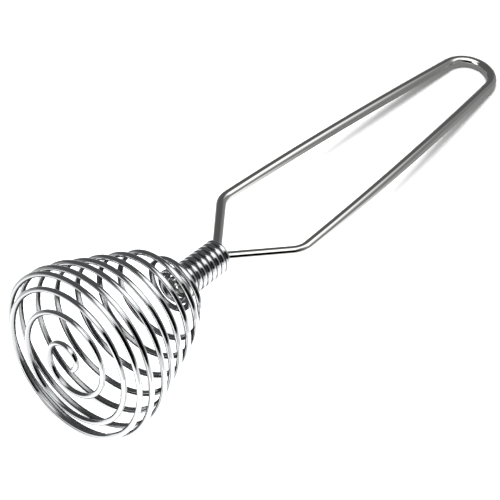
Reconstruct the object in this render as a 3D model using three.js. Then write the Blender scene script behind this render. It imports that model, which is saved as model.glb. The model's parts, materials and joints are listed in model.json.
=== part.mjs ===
// French whisk: a springy bell of coiled wire, wound at its neck round the two ends of a bent rod handle.
// Millimetres, +Z up, +X from the head to the hairpin end, lying at rest on its rim and its hairpin end.
// Everything is drawn along the whisk's own axis: x along it, x = 0 at the rim, z square to the handle's
// plane. The finished whisk is then laid down.
import * as THREE from 'three';

// Wire gauges
const ROD_DIAMETER = 3.4;
const WIRE_DIAMETER = 1.8;

// Handle: distances along the axis, half widths from it, and bend radii at the rod's centre
const ROD_FOOT_X = 45.6;
const ROD_HALF_SPACING = 1.85;
const NECK_BEND_X = 66.7;
const NECK_BEND_RADIUS = 3;
const SHOULDER_X = 86.6;
const SHOULDER_HALF_WIDTH = 16.7;
const SHOULDER_BEND_RADIUS = 8.5;
const LEG_BOW = 0.9;
const HAIRPIN_X = 204.5;
const HAIRPIN_RADIUS = 8.7;

// Coil: centre line radius and place along the axis, turn by turn from the cut tip to the neck
const TIP_ANGLE = THREE.MathUtils.degToRad(175.7);
const COIL_STATIONS = [
  { turn: -0.06, radius: 2.6, x: -4.9 },
  { turn: 0.5, radius: 8.0, x: -4.05 },
  { turn: 1, radius: 13.15, x: -3.5 },
  { turn: 1.5, radius: 17.9, x: -3.4 },
  { turn: 2, radius: 21.9, x: -3.4 },
  { turn: 2.5, radius: 24.8, x: -2.9 },
  { turn: 3, radius: 26.85, x: -1.85 },
  { turn: 3.5, radius: 28.25, x: -0.4 },
  { turn: 4, radius: 28.3, x: 1.8 },
  { turn: 4.5, radius: 28.05, x: 4.7 },
  { turn: 5, radius: 27.5, x: 7.95 },
  { turn: 5.5, radius: 26.5, x: 11.0 },
  { turn: 6, radius: 25.25, x: 13.9 },
  { turn: 7, radius: 22.9, x: 20.3 },
  { turn: 8, radius: 20.25, x: 27.3 },
  { turn: 9, radius: 17.5, x: 34.2 },
  { turn: 9.5, radius: 16.1, x: 37.25 },
  { turn: 10, radius: 14.1, x: 40.2 },
  { turn: 10.25, radius: 12.2, x: 41.9 },
  { turn: 10.5, radius: 8.3, x: 43.5 },
  { turn: 10.75, radius: 7.6, x: 44 },
  { turn: 11, radius: 6.4, x: 44.1 },
  { turn: 11.25, radius: 5.6, x: 44.3 },
  { turn: 11.5, radius: 5.6, x: 44.5 },
  { turn: 11.75, radius: 5.4, x: 45.1 },
  { turn: 12, radius: 4.85, x: 46.1 },
  { turn: 12.25, radius: 4.75, x: 46.5 },
  { turn: 12.5, radius: 4.9, x: 46.9 },
  { turn: 12.75, radius: 4.8, x: 47.7 },
  { turn: 13, radius: 4.7, x: 48.6 },
  { turn: 14, radius: 4.7, x: 50.95 },
  { turn: 15, radius: 4.7, x: 53.25 },
];
const NECK_RADIUS = 4.7;
const NECK_START_TURN = 16;
const NECK_START_X = 55.48;
const NECK_PITCH = 2.22;
const NECK_END_TURN = 20.7;

// Head: the base and the rim sit a little off the axis and lean, as a sprung coil settles; the turns below
// HEAD_START_TURN move over HEAD_EASE_TURNS. The lean is the way along the axis for each millimetre off it.
const HEAD_START_TURN = 5;
const HEAD_EASE_TURNS = 1.5;
const HEAD_SHIFT = { y: -0.2, z: 0.85 };
const HEAD_LEAN = { y: 0.03, z: 0.009 };

// Where the one wire is divided, so that the spring, the rim and the base can move
const BASE_END_TURN = 2.6;
const RIM_END_TURN = 5.05;
const BELL_END_TURN = 10.75;
const WIRE_JOINT_GAP = 0.6;

// Facets
const LOOP_STEPS = 24;
const WIRE_SIDES = 8;
const ROD_SIDES = 12;
const BEND_STEPS = 10;

// The part of a turn over which the wire's direction is taken, and the search for the tilt at rest
const SMALL_TURN = 0.001;
const STEEPEST_TILT = Math.PI / 8;
const TILT_STEPS = 40;

const chromedRod = new THREE.MeshStandardMaterial({ color: 0xc4c7ca, metalness: 1, roughness: 0.1 });
const chromedWire = new THREE.MeshStandardMaterial({ color: 0xb9bcc0, metalness: 1, roughness: 0.14 });

// A closed round tube through the points: rings stand square to the path and turn with it without twisting.
// A ring's polygon has the same area as the round section, so the facets take nothing off the weight.
function tubeGeometry(points, sectionRadius, sides) {
  const facetAngle = (2 * Math.PI) / sides;
  const radius = sectionRadius * Math.sqrt(facetAngle / Math.sin(facetAngle));
  const positions = [];
  const indices = [];
  const tangent = new THREE.Vector3();
  const normal = new THREE.Vector3(0, 0, 1);
  const binormal = new THREE.Vector3();
  const last = points.length - 1;
  points.forEach((point, ring) => {
    tangent.subVectors(points[Math.min(ring + 1, last)], points[Math.max(ring - 1, 0)]).normalize();
    normal.addScaledVector(tangent, -normal.dot(tangent)).normalize();
    binormal.crossVectors(tangent, normal);
    for (let side = 0; side < sides; side += 1) {
      const angle = facetAngle * side;
      const vertex = point.clone();
      vertex.addScaledVector(normal, radius * Math.cos(angle));
      vertex.addScaledVector(binormal, radius * Math.sin(angle));
      positions.push(vertex.x, vertex.y, vertex.z);
    }
  });
  for (let ring = 0; ring < last; ring += 1) {
    for (let side = 0; side < sides; side += 1) {
      const a = ring * sides + side;
      const b = ring * sides + ((side + 1) % sides);
      indices.push(a, b, b + sides, a, b + sides, a + sides);
    }
  }
  for (let side = 1; side < sides - 1; side += 1) {
    const end = last * sides;
    indices.push(0, side + 1, side);
    indices.push(end, end + side, end + side + 1);
  }
  const geometry = new THREE.BufferGeometry();
  geometry.setAttribute('position', new THREE.Float32BufferAttribute(positions, 3));
  geometry.setIndex(indices);
  geometry.computeVertexNormals();
  return geometry;
}

// A corner of a path, rounded: the curve's start and end lie on the two straights that meet at the corner.
function addBend(path, from, corner, to, radius) {
  const inward = new THREE.Vector2().subVectors(from, corner).normalize();
  const outward = new THREE.Vector2().subVectors(to, corner).normalize();
  const turn = Math.PI - inward.angleTo(outward);
  const reach = radius * Math.tan(turn / 2);
  const start = corner.clone().addScaledVector(inward, reach);
  const end = corner.clone().addScaledVector(outward, reach);
  path.lineTo(start.x, start.y);
  path.quadraticCurveTo(corner.x, corner.y, end.x, end.y);
  return end;
}

// The handle's centre line in its own plane, from one rod foot round the hairpin to the other.
function handlePoints() {
  const foot = new THREE.Vector2(ROD_FOOT_X, ROD_HALF_SPACING);
  const neck = new THREE.Vector2(NECK_BEND_X, ROD_HALF_SPACING);
  const shoulder = new THREE.Vector2(SHOULDER_X, SHOULDER_HALF_WIDTH);
  const hairpinCentre = new THREE.Vector2(HAIRPIN_X - HAIRPIN_RADIUS, 0);
  const legRun = hairpinCentre.x - shoulder.x;
  const legSlope = Math.atan2(SHOULDER_HALF_WIDTH - HAIRPIN_RADIUS, legRun);
  const bowSlope = Math.atan2(4 * LEG_BOW, legRun);
  const hairpinAngle = Math.PI / 2 - legSlope - bowSlope;
  const hairpinStart = new THREE.Vector2(Math.cos(hairpinAngle), Math.sin(hairpinAngle))
    .multiplyScalar(HAIRPIN_RADIUS)
    .add(hairpinCentre);
  const legControl = shoulder.clone().add(hairpinStart).multiplyScalar(0.5);
  legControl.y += 2 * LEG_BOW;

  const path = new THREE.Path();
  path.moveTo(foot.x, foot.y);
  addBend(path, foot, neck, shoulder, NECK_BEND_RADIUS);
  addBend(path, neck, shoulder, legControl, SHOULDER_BEND_RADIUS);
  path.quadraticCurveTo(legControl.x, legControl.y, hairpinStart.x, hairpinStart.y);
  path.absarc(hairpinCentre.x, hairpinCentre.y, HAIRPIN_RADIUS, hairpinAngle, 0, true);

  const half = path.getPoints(BEND_STEPS).map((p) => new THREE.Vector3(p.x, p.y, 0));
  const mirrored = half.slice(0, -1).reverse().map((p) => new THREE.Vector3(p.x, -p.y, 0));
  return half.concat(mirrored);
}

const stationTurns = COIL_STATIONS.map((station) => station.turn);
const stationValues = COIL_STATIONS.flatMap((station) => [station.radius, station.x]);
const bellProfile = new THREE.CubicInterpolant(
  stationTurns.concat(NECK_START_TURN),
  stationValues.concat(NECK_RADIUS, NECK_START_X),
  2,
);

// A point of the coil's centre line: a left-handed winding whose radius and place follow the stations.
function coilPoint(turn) {
  const angle = TIP_ANGLE - 2 * Math.PI * turn;
  let radius = NECK_RADIUS;
  let x = NECK_START_X + NECK_PITCH * (turn - NECK_START_TURN);
  if (turn < NECK_START_TURN) {
    [radius, x] = bellProfile.evaluate(turn);
  }
  const y = radius * Math.cos(angle);
  const z = radius * Math.sin(angle);
  const settle = THREE.MathUtils.smoothstep(HEAD_START_TURN - turn, 0, HEAD_EASE_TURNS);
  return new THREE.Vector3(
    x + settle * (HEAD_LEAN.y * y + HEAD_LEAN.z * z),
    y + settle * HEAD_SHIFT.y,
    z + settle * HEAD_SHIFT.z,
  );
}

// One stretch of the coil, with an end straight for a wire diameter at each end.
function coilPoints(fromTurn, toTurn) {
  const endAllowance = WIRE_DIAMETER + WIRE_JOINT_GAP / 2;
  const turnLength = (turn) => coilPoint(turn).distanceTo(coilPoint(turn + SMALL_TURN)) / SMALL_TURN;
  const start = fromTurn + endAllowance / turnLength(fromTurn);
  const end = toTurn - endAllowance / turnLength(toTurn);
  const steps = Math.round((end - start) * LOOP_STEPS);
  const points = [];
  for (let step = 0; step <= steps; step += 1) {
    points.push(coilPoint(start + ((end - start) * step) / steps));
  }
  const startWay = coilPoint(start).sub(coilPoint(start + SMALL_TURN)).setLength(WIRE_DIAMETER);
  const endWay = coilPoint(end).sub(coilPoint(end - SMALL_TURN)).setLength(WIRE_DIAMETER);
  points.unshift(coilPoint(start).add(startWay));
  points.push(coilPoint(end).add(endWay));
  return points;
}

// The least clear distance between parts of the wire that are half a turn or more apart.
function leastGap(points) {
  let least = Infinity;
  for (let i = 0; i < points.length; i += 1) {
    for (let j = i + LOOP_STEPS / 2; j < points.length; j += 1) {
      least = Math.min(least, points[i].distanceTo(points[j]));
    }
  }
  return least - WIRE_DIAMETER;
}

const whisk = new THREE.Group();

function addTube(name, points, diameter, sides, material) {
  const mesh = new THREE.Mesh(tubeGeometry(points, diameter / 2, sides), material);
  mesh.name = name;
  whisk.add(mesh);
}

const coilStretches = [
  { name: 'base_spiral', from: COIL_STATIONS[0].turn, to: BASE_END_TURN },
  { name: 'rim_turns', from: BASE_END_TURN, to: RIM_END_TURN },
  { name: 'bell_spring', from: RIM_END_TURN, to: BELL_END_TURN },
  { name: 'neck_winding', from: BELL_END_TURN, to: NECK_END_TURN },
];

const rodPoints = handlePoints();
addTube('handle_rod', rodPoints, ROD_DIAMETER, ROD_SIDES, chromedRod);
const wirePoints = [];
for (const stretch of coilStretches) {
  const points = coilPoints(stretch.from, stretch.to);
  addTube(stretch.name, points, WIRE_DIAMETER, WIRE_SIDES, chromedWire);
  wirePoints.push(...points);
  console.log(`${stretch.name}: least gap to itself ${leastGap(points).toFixed(2)} mm`);
}

// The tilt at which the lowest wire and the lowest rod touch the same level surface.
function restingTilt() {
  const lowest = (points, diameter, tilt) =>
    Math.min(...points.map((p) => p.z * Math.cos(tilt) - p.x * Math.sin(tilt))) - diameter / 2;
  let low = 0;
  let high = STEEPEST_TILT;
  for (let step = 0; step < TILT_STEPS; step += 1) {
    const tilt = (low + high) / 2;
    const wireIsLower = lowest(wirePoints, WIRE_DIAMETER, tilt) < lowest(rodPoints, ROD_DIAMETER, tilt);
    if (wireIsLower) low = tilt;
    else high = tilt;
  }
  return low;
}

// Laid down, with the origin under the middle of the whisk on the surface that it lies on.
whisk.rotation.y = restingTilt();
const box = new THREE.Box3().setFromObject(whisk, true);
const middle = box.getCenter(new THREE.Vector3());
whisk.position.set(-middle.x, -middle.y, -box.min.z);

const part = new THREE.Group();
part.add(whisk);
export default part;
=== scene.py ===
"""Looks of a french whisk: chromed wire wound into a springy bell, on a handle bent from chromed rod.

The wire and the rod are round sections carried along formula paths, in metres, in the CAD part's own frame.
"""
import json
import math

import bpy
import numpy as np
from mathutils import Matrix, Vector


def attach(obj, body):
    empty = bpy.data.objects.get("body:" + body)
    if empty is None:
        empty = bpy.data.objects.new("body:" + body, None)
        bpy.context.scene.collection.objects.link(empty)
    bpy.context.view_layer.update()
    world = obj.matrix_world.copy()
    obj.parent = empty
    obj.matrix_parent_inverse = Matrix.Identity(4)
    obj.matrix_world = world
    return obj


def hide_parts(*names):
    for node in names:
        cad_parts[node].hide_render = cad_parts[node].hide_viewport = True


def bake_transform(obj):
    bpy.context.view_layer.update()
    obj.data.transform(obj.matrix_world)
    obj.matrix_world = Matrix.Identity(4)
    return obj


bl_info = {
    "name": "French Whisk",
    "version": (1, 0, 0),
    "blender": (4, 5, 0),
    "location": "View3D > Sidebar > Whisk",
    "description": "Winds the whisk's coil, bends its handle and sets its table",
    "category": "Object",
}

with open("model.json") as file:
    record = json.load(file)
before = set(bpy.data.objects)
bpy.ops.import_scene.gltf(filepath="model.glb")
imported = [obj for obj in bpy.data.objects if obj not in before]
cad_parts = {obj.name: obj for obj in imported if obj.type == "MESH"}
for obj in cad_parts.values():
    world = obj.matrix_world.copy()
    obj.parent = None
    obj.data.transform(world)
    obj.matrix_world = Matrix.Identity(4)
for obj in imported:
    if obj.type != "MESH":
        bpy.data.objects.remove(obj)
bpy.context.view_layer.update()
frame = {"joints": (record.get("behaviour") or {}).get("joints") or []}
MM = 0.001

# The whisk's own axes, from its joints: along the axis, square to the handle's plane, and across it. A place
# along the axis counts from the rim, and the sway hinge is at SWAY_X
JOINTS = {joint["name"]: joint for joint in frame["joints"]}
PRESS = JOINTS["head_press"]
SWAY = JOINTS["head_sway"]
ALONG = np.array(PRESS["axis"])
UPRIGHT = np.array(SWAY["axis"])
ACROSS = np.cross(UPRIGHT, ALONG)
SWAY_X = 46.5 * MM
RIM_CENTRE = np.array(SWAY["pos_m"]) - SWAY_X * ALONG

# Coil: turn, radius and place along the axis of the wire's centre line, from the cut tip up to the neck
COIL_STATIONS_MM = (
    (-0.06, 2.6, -4.9),
    (0.5, 8.0, -4.05),
    (1, 13.15, -3.5),
    (1.5, 17.9, -3.4),
    (2, 21.9, -3.4),
    (2.5, 24.8, -2.9),
    (3, 26.85, -1.85),
    (3.5, 28.25, -0.4),
    (4, 28.3, 1.8),
    (4.5, 28.05, 4.7),
    (5, 27.5, 7.95),
    (5.5, 26.5, 11.0),
    (6, 25.25, 13.9),
    (7, 22.9, 20.3),
    (8, 20.25, 27.3),
    (9, 17.5, 34.2),
    (9.5, 16.1, 37.25),
    (10, 14.1, 40.2),
    (10.25, 12.2, 41.9),
    (10.5, 8.3, 43.5),
    (10.75, 7.6, 44),
    (11, 6.4, 44.1),
    (11.25, 5.6, 44.3),
    (11.5, 5.6, 44.5),
    (11.75, 5.4, 45.1),
    (12, 4.85, 46.1),
    (12.25, 4.75, 46.5),
    (12.5, 4.9, 46.9),
    (12.75, 4.8, 47.7),
    (13, 4.7, 48.6),
    (14, 4.7, 50.95),
    (15, 4.7, 53.25),
)
TIP_TURN = COIL_STATIONS_MM[0][0]
TIP_ANGLE = math.radians(175.7)
NECK_START_TURN = 16
NECK_START_X = 55.48 * MM
NECK_END_TURN = 20.7
# Where the coil's two stretches meet, in the bell
SEAM_TURN = 10.05
# The head sits off the axis (across, up) and leans (along, for each unit across and up): not at all above
# the first of these turns, and fully below the second
HEAD_TURNS = (5, 3.5)
HEAD_SHIFT = (-0.2 * MM, 0.85 * MM)
HEAD_LEAN = (0.03, 0.009)
RINGS_PER_TURN = 72
WIRE_SIDES = 24

# Handle
ROD_SIDES = 32
ROD_RING_SPACING = 0.4 * MM
BEND_POINTS = 200

# A cut end's chamfer, as a share of the diameter
CHAMFER_SHARE = 0.12

# Chrome plate: fine lines left by the die, smudges where it is handled, and painted shade that darkens the
# plate inside a coil, between two places given in diameters from the bar's middle
WIRE_LINE_WIDTH = 0.22 * MM
WIRE_SMUDGE_SIZE = 7 * MM
WIRE_INSIDE_SHADE_TONE = 0.68
ROD_LINE_WIDTH = 0.3 * MM
ROD_SMUDGE_SIZE = 14 * MM
ROD_INSIDE_SHADE_TONE = 1
LINE_LENGTH = 30 * MM
LINE_DETAIL = 3
LINE_GRAIN = 0.55
LINE_RANGE = (0.25, 0.75)
LINE_TONE = (0.9, 1)
LINE_DEPTH = 0.01 * MM
LINE_STRENGTH = 0.15
SMUDGE_STRETCH = 2.5
SMUDGE_DETAIL = 4
SMUDGE_GRAIN = 0.6
SMUDGE_RANGE = (0.35, 0.75)
SMUDGE_ROUGHNESS = (0.02, 0.06)
INSIDE_SHADE_EDGE = (-0.25, 0.15)

# Camera, as the photograph was taken
CAMERA_TARGET = Vector((-21.46, -2.5, 14.75)) * MM
CAMERA_DISTANCE = 0.949
CAMERA_AZIMUTH = math.radians(50.75)
CAMERA_ELEVATION = math.radians(48.11)
CAMERA_ROLL = math.radians(1.46)
CAMERA_LENS_MM = 216
SENSOR_MM = 36
CAMERA_CLIP_END = 20

# Studio levels, where 1 is plain white: what bright metal mirrors, and the even light on matt surfaces
WHITE_LEVEL = 2.4
WHITE_CARD_LEVEL = 2.1
EVEN_LEVEL = 0.3

# Room, by the parts of a direction of length one. A change is soft between the two values of a pair, but for
# HEAD_SIDE_START, CEILING_START_Z and CEILING_FULL_Z, which hold a value for the near and for the far side
NEAR_ROOM = "#949596"
FAR_WALL = "#68696A"
FAR_SIDE_Y = (-0.05, 0.2)
TO_HEAD = (-1, 0, 0)
HEAD_SIDE_START = (0.93, 0.9)
HEAD_SIDE_Z = (0.2, 0.5)
CEILING_START_Z = (0.82, 0.925)
CEILING_FULL_Z = (0.92, 0.975)

# Cards: an outline of x and z for the black one, and where both fade
BLACK_CARD_Y = -0.19
BLACK_CARD = (
    (-2.3, 0), (0.12, 0), (0.12, 0.2), (0.03, 0.27), (-0.11, 0.36), (-0.24, 0.46), (-0.45, 0.52),
    (-1.16, 0.62), (-2.3, 1.2),
)
BLACK_CARD_FADE_X = (0.12, -0.06)
# The black card's foot glows: a painted light strip that only bright metal mirrors
BLACK_CARD_FOOT_Z = (0.045, 0.075)
BLACK_CARD_FOOT_LEVEL = 1.3
WHITE_CARD_X = 0.22
WHITE_CARD_Y = (-0.3, -0.14, -0.05, 0.08)
WHITE_CARD_Z = (0.105, 0.235, 0.9)

# Table: matt, and lifted to plain white away from the hairpin
TABLE_HALF = 1.5
TABLE_COLOUR = "#F4F4F4"
LIFT_CENTRE = (0.1, 0, 0)
LIFT_REACH = 0.1
LIFT_LEVEL = 0.8

# Table as bright metal mirrors it: an oval shade under the coil, two darker steps towards the back, and grey
# under the grip, past an edge that lies across GRIP_WAY
SHADE_CENTRE = (-0.074, 0.016, 0)
SHADE_RADII = (0.049, 0.041, 1)
SHADE_EDGE = (0.7, 1.1)
SHADE_SHARE = 0.03
BACK_STEPS_Y = ((0.05, 0.085), (0.1, 0.25))
BACK_SHARE = 0.4
GRIP_WAY = (0.9, 0.44, 0)
GRIP_EDGE = (-0.03, 0.045)
GRIP_NEAR_Y = (-0.03, 0)
GRIP_NEAR_LEVEL = 0.42
GRIP_LEVEL = 0.31

# Lamp
LAMP_SIZE = 0.44
LAMP_PLACE = (0, -0.05, 1.0)
LAMP_POWER = 10.5


def linear(hex_colour):
    """sRGB hex to linear RGBA."""
    srgb = np.array([int(hex_colour[i:i + 2], 16) for i in (1, 3, 5)]) / 255
    rgb = np.where(srgb <= 0.04045, srgb / 12.92, ((srgb + 0.055) / 1.055) ** 2.4)
    return (*rgb.tolist(), 1.0)


def grey(level):
    """A neutral colour of the given level."""
    return (level, level, level, 1.0)


class WhiskCoil(bpy.types.PropertyGroup):
    """Sizes and colour of the coil's wire."""

    diameter: bpy.props.FloatProperty(
        name="Wire diameter", description="Thickness of the coil's wire",
        default=1.8 * MM, min=0.5 * MM, unit="LENGTH", precision=4)
    neck_radius: bpy.props.FloatProperty(
        name="Neck radius", description="Radius of the close winding on the rod, at the wire's centre",
        default=4.7 * MM, min=2 * MM, unit="LENGTH", precision=4)
    neck_pitch: bpy.props.FloatProperty(
        name="Neck pitch", description="Distance between the turns of the close winding",
        default=2.22 * MM, min=1 * MM, unit="LENGTH", precision=4)
    colour: bpy.props.FloatVectorProperty(
        name="Plating", description="Colour of the wire's chrome plate",
        default=linear("#BCBEBF"), size=4, min=0, max=1, subtype="COLOR")


class WhiskHandle(bpy.types.PropertyGroup):
    """Sizes and colour of the handle's rod."""

    diameter: bpy.props.FloatProperty(
        name="Rod diameter", description="Thickness of the handle's rod",
        default=3.4 * MM, min=1 * MM, unit="LENGTH", precision=4)
    foot_x: bpy.props.FloatProperty(
        name="Rod foot", description="Where the rod's two ends stand in the neck, along the axis",
        default=45.6 * MM, unit="LENGTH", precision=4)
    half_spacing: bpy.props.FloatProperty(
        name="Half spacing", description="Half the distance between the rod's two ends in the neck",
        default=1.85 * MM, unit="LENGTH", precision=4)
    neck_bend_x: bpy.props.FloatProperty(
        name="Neck bend", description="Corner where the rod leaves the neck, along the axis",
        default=66.7 * MM, unit="LENGTH", precision=4)
    neck_bend_radius: bpy.props.FloatProperty(
        name="Neck bend radius", description="Radius of the bend above the neck",
        default=3.0 * MM, unit="LENGTH", precision=4)
    shoulder_x: bpy.props.FloatProperty(
        name="Shoulder", description="Corner of the shoulder, along the axis",
        default=86.6 * MM, unit="LENGTH", precision=4)
    shoulder_half_width: bpy.props.FloatProperty(
        name="Shoulder half width", description="Corner of the shoulder, across the axis",
        default=16.7 * MM, unit="LENGTH", precision=4)
    shoulder_bend_radius: bpy.props.FloatProperty(
        name="Shoulder bend radius", description="Radius of the shoulder bend",
        default=8.5 * MM, unit="LENGTH", precision=4)
    leg_bow: bpy.props.FloatProperty(
        name="Leg bow", description="How far a leg bows outwards in its middle",
        default=0.9 * MM, unit="LENGTH", precision=4)
    hairpin_x: bpy.props.FloatProperty(
        name="Hairpin", description="Far end of the hairpin, along the axis",
        default=204.5 * MM, unit="LENGTH", precision=4)
    hairpin_radius: bpy.props.FloatProperty(
        name="Hairpin radius", description="Radius of the hairpin bend",
        default=8.7 * MM, unit="LENGTH", precision=4)
    colour: bpy.props.FloatVectorProperty(
        name="Plating", description="Colour of the rod's chrome plate",
        default=linear("#D2D2CF"), size=4, min=0, max=1, subtype="COLOR")


def add_node(tree, kind, inputs=None, **settings):
    """Adds a node: settings are its own properties, and inputs, by name or number, are values or sockets."""
    node = tree.nodes.new(kind)
    for name, value in settings.items():
        setattr(node, name, value)
    for key, value in (inputs or {}).items():
        if isinstance(value, bpy.types.NodeSocket):
            tree.links.new(value, node.inputs[key])
        else:
            node.inputs[key].default_value = value
    return node


def ramp(tree, value, start, end, low=0, high=1, interpolation="SMOOTHSTEP"):
    """A value that goes from low to high as another one goes from start to end."""
    inputs = dict(enumerate((value, start, end, low, high)))
    return add_node(tree, "ShaderNodeMapRange", inputs, interpolation_type=interpolation).outputs[0]


def product(tree, first, second):
    """Two values multiplied."""
    return add_node(tree, "ShaderNodeMath", {0: first, 1: second}, operation="MULTIPLY").outputs[0]


def mix(tree, share, first, second):
    """A colour between two, by the share of the second."""
    return add_node(tree, "ShaderNodeMix", {0: share, 6: first, 7: second}, data_type="RGBA").outputs[2]


def measure(tree, operation, first, second=(0, 0, 0)):
    """A number from vectors: a length, a distance or a dot product."""
    inputs = {0: first, 1: second}
    return add_node(tree, "ShaderNodeVectorMath", inputs, operation=operation).outputs["Value"]


def glow(tree, level):
    """A white surface that shines at the given level."""
    return add_node(tree, "ShaderNodeEmission", {"Color": grey(1), "Strength": level}).outputs[0]


def stretched_noise(tree, place, width, length, detail, grain):
    """Noise whose marks have one size round the bar and another along it."""
    scale = (1 / width, 1 / width, 1 / length)
    place = add_node(tree, "ShaderNodeMapping", {"Vector": place, "Scale": scale}).outputs[0]
    inputs = {"Vector": place, "Scale": 1, "Detail": detail, "Roughness": grain}
    return add_node(tree, "ShaderNodeTexNoise", inputs).outputs[0]


def new_material(name):
    """A material with an empty node tree."""
    material = bpy.data.materials.new(name)
    material.use_nodes = True
    material.node_tree.nodes.clear()
    return material


def chrome_plate(name, colour, diameter, line_width, smudge_size, inside_shade_tone):
    """Bright chrome plate on drawn steel: a dark-toned mirror with fine lengthwise lines left by the die,
    a few duller patches where it has been handled, and a slight waviness from plating over a drawn surface.
    On the inside of a coil the plate is darkened by painted shade, down to the inside shade tone."""
    material = new_material(name)
    tree = material.node_tree
    place = add_node(tree, "ShaderNodeAttribute", attribute_name="along_wire").outputs["Vector"]
    lines = stretched_noise(tree, place, line_width, LINE_LENGTH, LINE_DETAIL, LINE_GRAIN)
    smudge_length = SMUDGE_STRETCH * smudge_size
    smudges = stretched_noise(tree, place, smudge_size, smudge_length, SMUDGE_DETAIL, SMUDGE_GRAIN)
    roughness = ramp(tree, smudges, *SMUDGE_RANGE, *SMUDGE_ROUGHNESS, interpolation="LINEAR")
    tone = ramp(tree, lines, *LINE_RANGE, *LINE_TONE, interpolation="LINEAR")
    # Painted shade: the plate darkens towards the inside of a coil, down to the inside shade tone
    outwards = add_node(tree, "ShaderNodeSeparateXYZ", {0: place}).outputs["X"]
    inner, outer = INSIDE_SHADE_EDGE
    painted_shade = ramp(tree, outwards, inner * diameter, outer * diameter, inside_shade_tone, 1)
    plate = mix(tree, product(tree, tone, painted_shade), grey(0), colour)
    inputs = {"Strength": LINE_STRENGTH, "Distance": LINE_DEPTH, "Height": lines}
    bump = add_node(tree, "ShaderNodeBump", inputs).outputs[0]
    inputs = {"Base Color": plate, "Metallic": 1, "Roughness": roughness, "Normal": bump}
    shader = add_node(tree, "ShaderNodeBsdfPrincipled", inputs).outputs[0]
    add_node(tree, "ShaderNodeOutputMaterial", {"Surface": shader})
    return material


def to_frame(local):
    """Points along, across and square to the handle (n, 3) as points of the part's frame."""
    return RIM_CENTRE + local @ np.stack([ALONG, ACROSS, UPRIGHT])


def smooth_through(turns, values, at):
    """Natural cubic spline: second derivatives m solve the usual three-term system, zero at both ends."""
    step = np.diff(turns)
    slope = np.diff(values) / step
    size = len(turns)
    system = np.eye(size)
    known = np.zeros(size)
    inner = np.arange(1, size - 1)
    system[inner, inner - 1] = step[:-1]
    system[inner, inner] = 2 * (step[:-1] + step[1:])
    system[inner, inner + 1] = step[1:]
    known[inner] = 6 * np.diff(slope)
    m = np.linalg.solve(system, known)
    i = np.clip(np.searchsorted(turns, at) - 1, 0, size - 2)
    a = turns[i + 1] - at
    b = at - turns[i]
    h = step[i]
    curve = (m[i] * a ** 3 + m[i + 1] * b ** 3) / (6 * h)
    return curve + (values[i] / h - m[i] * h / 6) * a + (values[i + 1] / h - m[i + 1] * h / 6) * b


def coil_path(from_turn, to_turn, neck_radius, neck_pitch):
    """Centre line of the wire and the outward direction at each point: a left-handed winding about the axis,
    whose radius and place follow the stations and then the neck."""
    neck_turns = np.arange(NECK_START_TURN, NECK_END_TURN + 1)
    neck_x = NECK_START_X + neck_pitch * (neck_turns - NECK_START_TURN)
    stations = np.array(COIL_STATIONS_MM)
    turns = np.concatenate([stations[:, 0], neck_turns])
    radii = np.concatenate([stations[:, 1] * MM, np.full(len(neck_turns), neck_radius)])
    places = np.concatenate([stations[:, 2] * MM, neck_x])
    count = int(round((to_turn - from_turn) * RINGS_PER_TURN)) + 1
    at = np.linspace(from_turn, to_turn, count)
    radius = smooth_through(turns, radii, at)
    x = smooth_through(turns, places, at)
    angle = TIP_ANGLE - 2 * np.pi * at
    zero = np.zeros(count)
    outward = np.stack([zero, np.cos(angle), np.sin(angle)], axis=1)
    path = outward * radius[:, None] + np.stack([x, zero, zero], axis=1)
    start, full = HEAD_TURNS
    settle = np.clip((start - at) / (start - full), 0, 1)
    settle = settle ** 2 * (3 - 2 * settle)
    lean = path[:, 1:] @ np.array(HEAD_LEAN)
    shift_across, shift_up = HEAD_SHIFT
    path += settle[:, None] * np.stack([lean, zero + shift_across, zero + shift_up], axis=1)
    return path, outward


def unit(vectors):
    """Vectors (n, 3) at length one."""
    return vectors / np.linalg.norm(vectors, axis=1)[:, None]


def run_length(path):
    """Distance along a path to each of its points, from the first."""
    return np.concatenate([[0], np.cumsum(np.linalg.norm(np.diff(path, axis=0), axis=1))])


def add_object(name, data):
    """Puts a mesh, a lamp or a camera into the scene."""
    item = bpy.data.objects.new(name, data)
    bpy.context.scene.collection.objects.link(item)
    return item


def bar_faces(ring_count, sides):
    """Faces of a closed bar: quads from ring to ring, and one flat face at each end."""
    ring = np.arange(ring_count - 1)[:, None] * sides
    side = np.arange(sides)[None, :]
    after = (side + 1) % sides
    quads = np.stack([ring + side, ring + after, ring + after + sides, ring + side + sides], axis=2)
    first = list(range(sides))[::-1]
    last = list(range((ring_count - 1) * sides, ring_count * sides))
    return quads.reshape(-1, 4).tolist() + [first, last]


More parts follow.
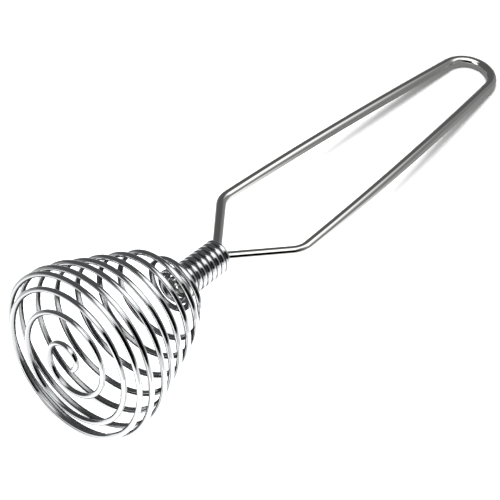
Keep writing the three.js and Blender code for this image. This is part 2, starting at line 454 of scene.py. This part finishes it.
def round_bar(name, path, guide, diameter, sides, material):
    """A circle carried along a path: ring i is path[i] + r (n cos t + b sin t), with n the part of the guide
    square to the path and b square to both. A cut end has a small chamfer and a flat face."""
    radius = diameter / 2
    chamfer = CHAMFER_SHARE * diameter
    tangent = unit(np.gradient(path, axis=0))
    normal = unit(guide - tangent * np.sum(guide * tangent, axis=1)[:, None])
    side_way = np.cross(tangent, normal)
    first = path[:1] - tangent[:1] * chamfer
    last = path[-1:] + tangent[-1:] * chamfer
    path = np.concatenate([first, path, last])
    normal = np.concatenate([normal[:1], normal, normal[-1:]])
    side_way = np.concatenate([side_way[:1], side_way, side_way[-1:]])
    shrink = np.ones(len(path))
    shrink[[0, -1]] = 1 - 2 * CHAMFER_SHARE
    turn = np.linspace(0, 2 * np.pi, sides, endpoint=False)
    across = np.cos(turn)[None, :, None] * normal[:, None] + np.sin(turn)[None, :, None] * side_way[:, None]
    rings = path[:, None] + radius * shrink[:, None, None] * across
    place = np.empty_like(rings)
    place[:, :, 0] = radius * np.cos(turn)
    place[:, :, 1] = radius * np.sin(turn)
    place[:, :, 2] = run_length(path)[:, None]

    mesh = bpy.data.meshes.new(name)
    mesh.from_pydata(to_frame(rings.reshape(-1, 3)).tolist(), [], bar_faces(len(path), sides))
    mesh.polygons.foreach_set("use_smooth", np.ones(len(mesh.polygons), dtype=bool))
    attribute = mesh.attributes.new("along_wire", "FLOAT_VECTOR", "POINT")
    attribute.data.foreach_set("vector", place.reshape(-1))
    sharpen_ends(mesh, len(path), sides)
    mesh.materials.append(material)
    mesh.update()
    return add_object(name, mesh)


def sharpen_ends(mesh, ring_count, sides):
    """Marks the edges of the end faces and of the chamfers as sharp, so that the bar's side stays round."""
    edges = np.empty(len(mesh.edges) * 2, dtype=np.int32)
    mesh.edges.foreach_get("vertices", edges)
    rings = edges.reshape(-1, 2) // sides
    same_ring = rings[:, 0] == rings[:, 1]
    end_rings = np.isin(rings[:, 0], (0, 1, ring_count - 2, ring_count - 1))
    sharp = mesh.attributes.new("sharp_edge", "BOOLEAN", "EDGE")
    sharp.data.foreach_set("value", same_ring & end_rings)


class WHISK_OT_wind_coil(bpy.types.Operator):
    """Wind the coil: neck, bell, rim and base spiral of one wire, in two stretches that meet in the bell"""

    bl_idname = "whisk.wind_coil"
    bl_label = "Wind Coil"

    def execute(self, context):
        sizes = context.scene.whisk_coil
        wire = chrome_plate(
            "Chrome plate on drawn spring wire", sizes.colour, sizes.diameter,
            WIRE_LINE_WIDTH, WIRE_SMUDGE_SIZE, WIRE_INSIDE_SHADE_TONE)
        path, outward = coil_path(TIP_TURN, SEAM_TURN, sizes.neck_radius, sizes.neck_pitch)
        bell = round_bar("coil_bell", path, outward, sizes.diameter, WIRE_SIDES, wire)
        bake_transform(bell)
        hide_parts("bell_spring", "rim_turns", "base_spiral")
        path, outward = coil_path(SEAM_TURN, NECK_END_TURN, sizes.neck_radius, sizes.neck_pitch)
        neck = round_bar("coil_neck", path, outward, sizes.diameter, WIRE_SIDES, wire)
        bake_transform(neck)
        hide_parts("neck_winding")
        return {"FINISHED"}


def bend(before, corner, after, radius):
    """A rounded corner: a quadratic curve whose ends lie on the straights, a tangent's length away."""
    towards = (before - corner) / np.linalg.norm(before - corner)
    away = (after - corner) / np.linalg.norm(after - corner)
    turn = math.pi - math.acos(np.clip(towards @ away, -1, 1))
    reach = radius * math.tan(turn / 2)
    return quadratic(corner + reach * towards, corner, corner + reach * away)


def quadratic(start, control, end):
    """Quadratic curve (1-t)^2 start + 2t(1-t) control + t^2 end."""
    t = np.linspace(0, 1, BEND_POINTS)[:, None]
    return (1 - t) ** 2 * start + 2 * t * (1 - t) * control + t ** 2 * end


def handle_path(sizes):
    """Centre line of the rod from one foot round the hairpin to the other, at even spacing, in its own
    plane. A leg is a quadratic curve: its control stands off by twice the bow, and its end slopes by four
    times the bow over the run."""
    foot = np.array([sizes.foot_x, sizes.half_spacing])
    neck = np.array([sizes.neck_bend_x, sizes.half_spacing])
    shoulder = np.array([sizes.shoulder_x, sizes.shoulder_half_width])
    centre_x = sizes.hairpin_x - sizes.hairpin_radius
    run = centre_x - sizes.shoulder_x
    leg_slope = math.atan2(sizes.shoulder_half_width - sizes.hairpin_radius, run)
    bow_slope = math.atan2(4 * sizes.leg_bow, run)
    start_angle = math.pi / 2 - leg_slope - bow_slope
    angle = np.linspace(start_angle, 0, BEND_POINTS)
    hairpin = sizes.hairpin_radius * np.stack([np.cos(angle), np.sin(angle)], axis=1) + (centre_x, 0)
    leg_control = (shoulder + hairpin[0]) / 2 + (0, 2 * sizes.leg_bow)
    neck_curve = bend(foot, neck, shoulder, sizes.neck_bend_radius)
    shoulder_curve = bend(neck, shoulder, leg_control, sizes.shoulder_bend_radius)
    leg = quadratic(shoulder_curve[-1], leg_control, hairpin[0])
    half = np.concatenate([foot[None], neck_curve, shoulder_curve, leg[1:], hairpin[1:]])
    whole = np.concatenate([half, (half * (1, -1))[-2::-1]])
    length = run_length(whole)
    even = np.linspace(0, length[-1], int(length[-1] / ROD_RING_SPACING))
    x = np.interp(even, length, whole[:, 0])
    y = np.interp(even, length, whole[:, 1])
    return np.stack([x, y, np.zeros(len(even))], axis=1)


class WHISK_OT_bend_handle(bpy.types.Operator):
    """Bend the handle: one rod from the neck over the shoulders, along the legs and round the hairpin"""

    bl_idname = "whisk.bend_handle"
    bl_label = "Bend Handle"

    def execute(self, context):
        sizes = context.scene.whisk_handle
        rod = chrome_plate(
            "Chrome plate on drawn rod", sizes.colour, sizes.diameter,
            ROD_LINE_WIDTH, ROD_SMUDGE_SIZE, ROD_INSIDE_SHADE_TONE)
        path = handle_path(sizes)
        square = np.tile([0.0, 0.0, 1.0], (len(path), 1))
        piece = round_bar("rod_handle", path, square, sizes.diameter, ROD_SIDES, rod)
        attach(piece, "handle")
        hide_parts("handle_rod")
        return {"FINISHED"}


def studio_world(scene):
    """White to the eye, even and plain on matt surfaces. Bright metal sees a grey room with a darker wall on
    the far side, a pale side past the head, and a white ceiling that reaches lower over the near side."""
    world = bpy.data.worlds.new("Studio")
    scene.world = world
    world.use_nodes = True
    tree = world.node_tree
    tree.nodes.clear()
    way = add_node(tree, "ShaderNodeTexCoord").outputs["Generated"]
    x, y, z = add_node(tree, "ShaderNodeSeparateXYZ", {0: way}).outputs
    level = add_node(tree, "ShaderNodeCombineXYZ", {0: x, 1: y}).outputs[0]
    level = add_node(tree, "ShaderNodeVectorMath", {0: level}, operation="NORMALIZE").outputs[0]
    to_head = measure(tree, "DOT_PRODUCT", level, TO_HEAD)
    far = ramp(tree, y, *FAR_SIDE_Y)
    head_start = ramp(tree, far, 0, 1, *HEAD_SIDE_START, interpolation="LINEAR")
    head_side = product(tree, ramp(tree, to_head, head_start, 1), ramp(tree, z, *HEAD_SIDE_Z))
    ceiling_start = ramp(tree, far, 0, 1, *CEILING_START_Z, interpolation="LINEAR")
    ceiling_full = ramp(tree, far, 0, 1, *CEILING_FULL_Z, interpolation="LINEAR")
    ceiling = ramp(tree, z, ceiling_start, ceiling_full)
    pale = add_node(tree, "ShaderNodeMath", {0: head_side, 1: ceiling}, operation="MAXIMUM").outputs[0]
    room = mix(tree, far, linear(NEAR_ROOM), linear(FAR_WALL))
    room = mix(tree, pale, room, grey(WHITE_LEVEL))
    rays = add_node(tree, "ShaderNodeLightPath").outputs
    seen = mix(tree, rays["Is Glossy Ray"], grey(EVEN_LEVEL), room)
    seen = mix(tree, rays["Is Camera Ray"], seen, grey(1))
    background = add_node(tree, "ShaderNodeBackground", {0: seen}).outputs[0]
    add_node(tree, "ShaderNodeOutputWorld", {"Surface": background})


def flat_piece(name, corners, material):
    """One flat face of the stage."""
    mesh = bpy.data.meshes.new(name)
    mesh.from_pydata(corners, [], [range(len(corners))])
    mesh.materials.append(material)
    piece = add_object(name, mesh)
    return piece


def card(name, corners, paint):
    """An upright card beside the table that only bright metal sees, as in a studio. Its paint function adds
    nodes to a tree that has the card's coordinates, and gives its level and how much it covers what is
    behind it."""
    material = new_material(name)
    tree = material.node_tree
    place = add_node(tree, "ShaderNodeTexCoord").outputs["Object"]
    x, y, z = add_node(tree, "ShaderNodeSeparateXYZ", {0: place}).outputs
    level, cover = paint(tree, x, y, z)
    clear = add_node(tree, "ShaderNodeBsdfTransparent").outputs[0]
    inputs = {0: cover, 1: clear, 2: glow(tree, level)}
    seen = add_node(tree, "ShaderNodeMixShader", inputs).outputs[0]
    add_node(tree, "ShaderNodeOutputMaterial", {"Surface": seen})
    piece = flat_piece(name, corners, material)
    piece.visible_camera = False
    piece.visible_diffuse = False
    piece.visible_shadow = False


def black_paint(tree, x, y, z):
    """Black, with a foot that glows pale for bright metal to mirror, fading out towards the hairpin end."""
    # The foot glows pale: a painted light strip that only bright metal sees
    level = ramp(tree, z, *BLACK_CARD_FOOT_Z, BLACK_CARD_FOOT_LEVEL, 0)
    return level, ramp(tree, x, *BLACK_CARD_FADE_X)


def white_paint(tree, x, y, z):
    """White and lit, fading out downwards and to both sides."""
    left_end, left, right, right_end = WHITE_CARD_Y
    foot, whole = WHITE_CARD_Z[:2]
    sides = product(tree, ramp(tree, y, left_end, left), ramp(tree, y, right_end, right))
    return WHITE_CARD_LEVEL, product(tree, sides, ramp(tree, z, foot, whole))


def laminate_to_eye(tree, place):
    """Matt, with the handle's soft shadow near the hairpin, and lifted to plain white away from there."""
    matt = add_node(tree, "ShaderNodeBsdfDiffuse", {"Color": linear(TABLE_COLOUR)}).outputs[0]
    distance = measure(tree, "DISTANCE", place, LIFT_CENTRE)
    lift = glow(tree, ramp(tree, distance, 0, LIFT_REACH, 0, LIFT_LEVEL))
    return add_node(tree, "ShaderNodeAddShader", {0: matt, 1: lift}).outputs[0]


def laminate_to_metal(tree, place):
    """What bright metal mirrors of the table, painted in: white under the head, with painted shade under the
    coil, darker in steps towards the back, and grey under the grip."""
    y = add_node(tree, "ShaderNodeSeparateXYZ", {0: place}).outputs["Y"]
    # Painted shade under the coil, seen only in bright metal
    inputs = {"Vector": place, "Location": SHADE_CENTRE, "Scale": SHADE_RADII}
    under_coil = add_node(tree, "ShaderNodeMapping", inputs, vector_type="TEXTURE").outputs[0]
    from_shade = measure(tree, "LENGTH", under_coil)
    mirrored_tone = ramp(tree, from_shade, *SHADE_EDGE, SHADE_SHARE * WHITE_LEVEL, WHITE_LEVEL)
    for start, end in BACK_STEPS_Y:
        mirrored_tone = product(tree, mirrored_tone, ramp(tree, y, start, end, 1, BACK_SHARE))
    grip = ramp(tree, y, *GRIP_NEAR_Y, GRIP_NEAR_LEVEL, GRIP_LEVEL)
    to_grip = measure(tree, "DOT_PRODUCT", place, GRIP_WAY)
    return glow(tree, ramp(tree, to_grip, *GRIP_EDGE, mirrored_tone, grip))


def white_table():
    """A white laminate table top, which bright metal sees otherwise than the eye does."""
    material = new_material("White laminate")
    tree = material.node_tree
    place = add_node(tree, "ShaderNodeTexCoord").outputs["Object"]
    mirrored = add_node(tree, "ShaderNodeLightPath").outputs["Is Glossy Ray"]
    inputs = {0: mirrored, 1: laminate_to_eye(tree, place), 2: laminate_to_metal(tree, place)}
    seen = add_node(tree, "ShaderNodeMixShader", inputs).outputs[0]
    add_node(tree, "ShaderNodeOutputMaterial", {"Surface": seen})
    ways = ((-1, -1), (1, -1), (1, 1), (-1, 1))
    flat_piece("table", [(TABLE_HALF * x, TABLE_HALF * y, 0) for x, y in ways], material)


def overhead_lamp():
    """One soft lamp above, whose shadow falls under the whisk."""
    data = bpy.data.lights.new("overhead_lamp", "AREA")
    data.shape = "DISK"
    data.size = LAMP_SIZE
    data.energy = LAMP_POWER
    lamp = add_object("overhead_lamp", data)
    lamp.location = LAMP_PLACE
    lamp.visible_glossy = False


def photo_camera(scene):
    """The camera stands off its target by azimuth and elevation, and turns about its view by the roll."""
    stand = Vector((
        -math.sin(CAMERA_AZIMUTH) * math.cos(CAMERA_ELEVATION),
        -math.cos(CAMERA_AZIMUTH) * math.cos(CAMERA_ELEVATION),
        math.sin(CAMERA_ELEVATION),
    ))
    turn = stand.to_track_quat("Z", "Y").to_matrix().to_4x4()
    data = bpy.data.cameras.new("photo_camera")
    data.sensor_width = SENSOR_MM
    data.lens = CAMERA_LENS_MM
    data.clip_end = CAMERA_CLIP_END
    camera = add_object("photo_camera", data)
    place = Matrix.Translation(CAMERA_TARGET + CAMERA_DISTANCE * stand)
    camera.matrix_world = place @ turn @ Matrix.Rotation(CAMERA_ROLL, 4, "Z")
    scene.camera = camera


class WHISK_OT_set_stage(bpy.types.Operator):
    """Set the table: white table top, studio surroundings, one soft lamp and the camera"""

    bl_idname = "whisk.set_stage"
    bl_label = "Set Stage"

    def execute(self, context):
        scene = context.scene
        scene.view_settings.view_transform = "Standard"
        studio_world(scene)
        white_table()
        card("black_card", [(x, BLACK_CARD_Y, z) for x, z in BLACK_CARD], black_paint)
        left, right = WHITE_CARD_Y[0], WHITE_CARD_Y[-1]
        low, high = WHITE_CARD_Z[0], WHITE_CARD_Z[-1]
        corners = ((left, low), (right, low), (right, high), (left, high))
        card("white_card", [(WHITE_CARD_X, y, z) for y, z in corners], white_paint)
        overhead_lamp()
        photo_camera(scene)
        return {"FINISHED"}


class WHISK_PT_build(bpy.types.Panel):
    """Lists the steps that build the whisk, and the sizes that they use"""

    bl_idname = "WHISK_PT_build"
    bl_label = "French Whisk"
    bl_space_type = "VIEW_3D"
    bl_region_type = "UI"
    bl_category = "Whisk"

    def draw(self, context):
        layout = self.layout
        for operator in OPERATORS:
            layout.operator(operator.bl_idname)
        for sizes in (context.scene.whisk_coil, context.scene.whisk_handle):
            box = layout.box()
            for name in sizes.__annotations__:
                box.prop(sizes, name)


OPERATORS = (WHISK_OT_wind_coil, WHISK_OT_bend_handle, WHISK_OT_set_stage)
CLASSES = (WhiskCoil, WhiskHandle, *OPERATORS, WHISK_PT_build)


def register():
    for cls in CLASSES:
        bpy.utils.register_class(cls)
    bpy.types.Scene.whisk_coil = bpy.props.PointerProperty(type=WhiskCoil)
    bpy.types.Scene.whisk_handle = bpy.props.PointerProperty(type=WhiskHandle)


def unregister():
    del bpy.types.Scene.whisk_handle
    del bpy.types.Scene.whisk_coil
    for cls in reversed(CLASSES):
        bpy.utils.unregister_class(cls)


def main():
    register()
    bpy.ops.whisk.wind_coil()
    bpy.ops.whisk.bend_handle()
    bpy.ops.whisk.set_stage()


if __name__ == "__main__":
    main()
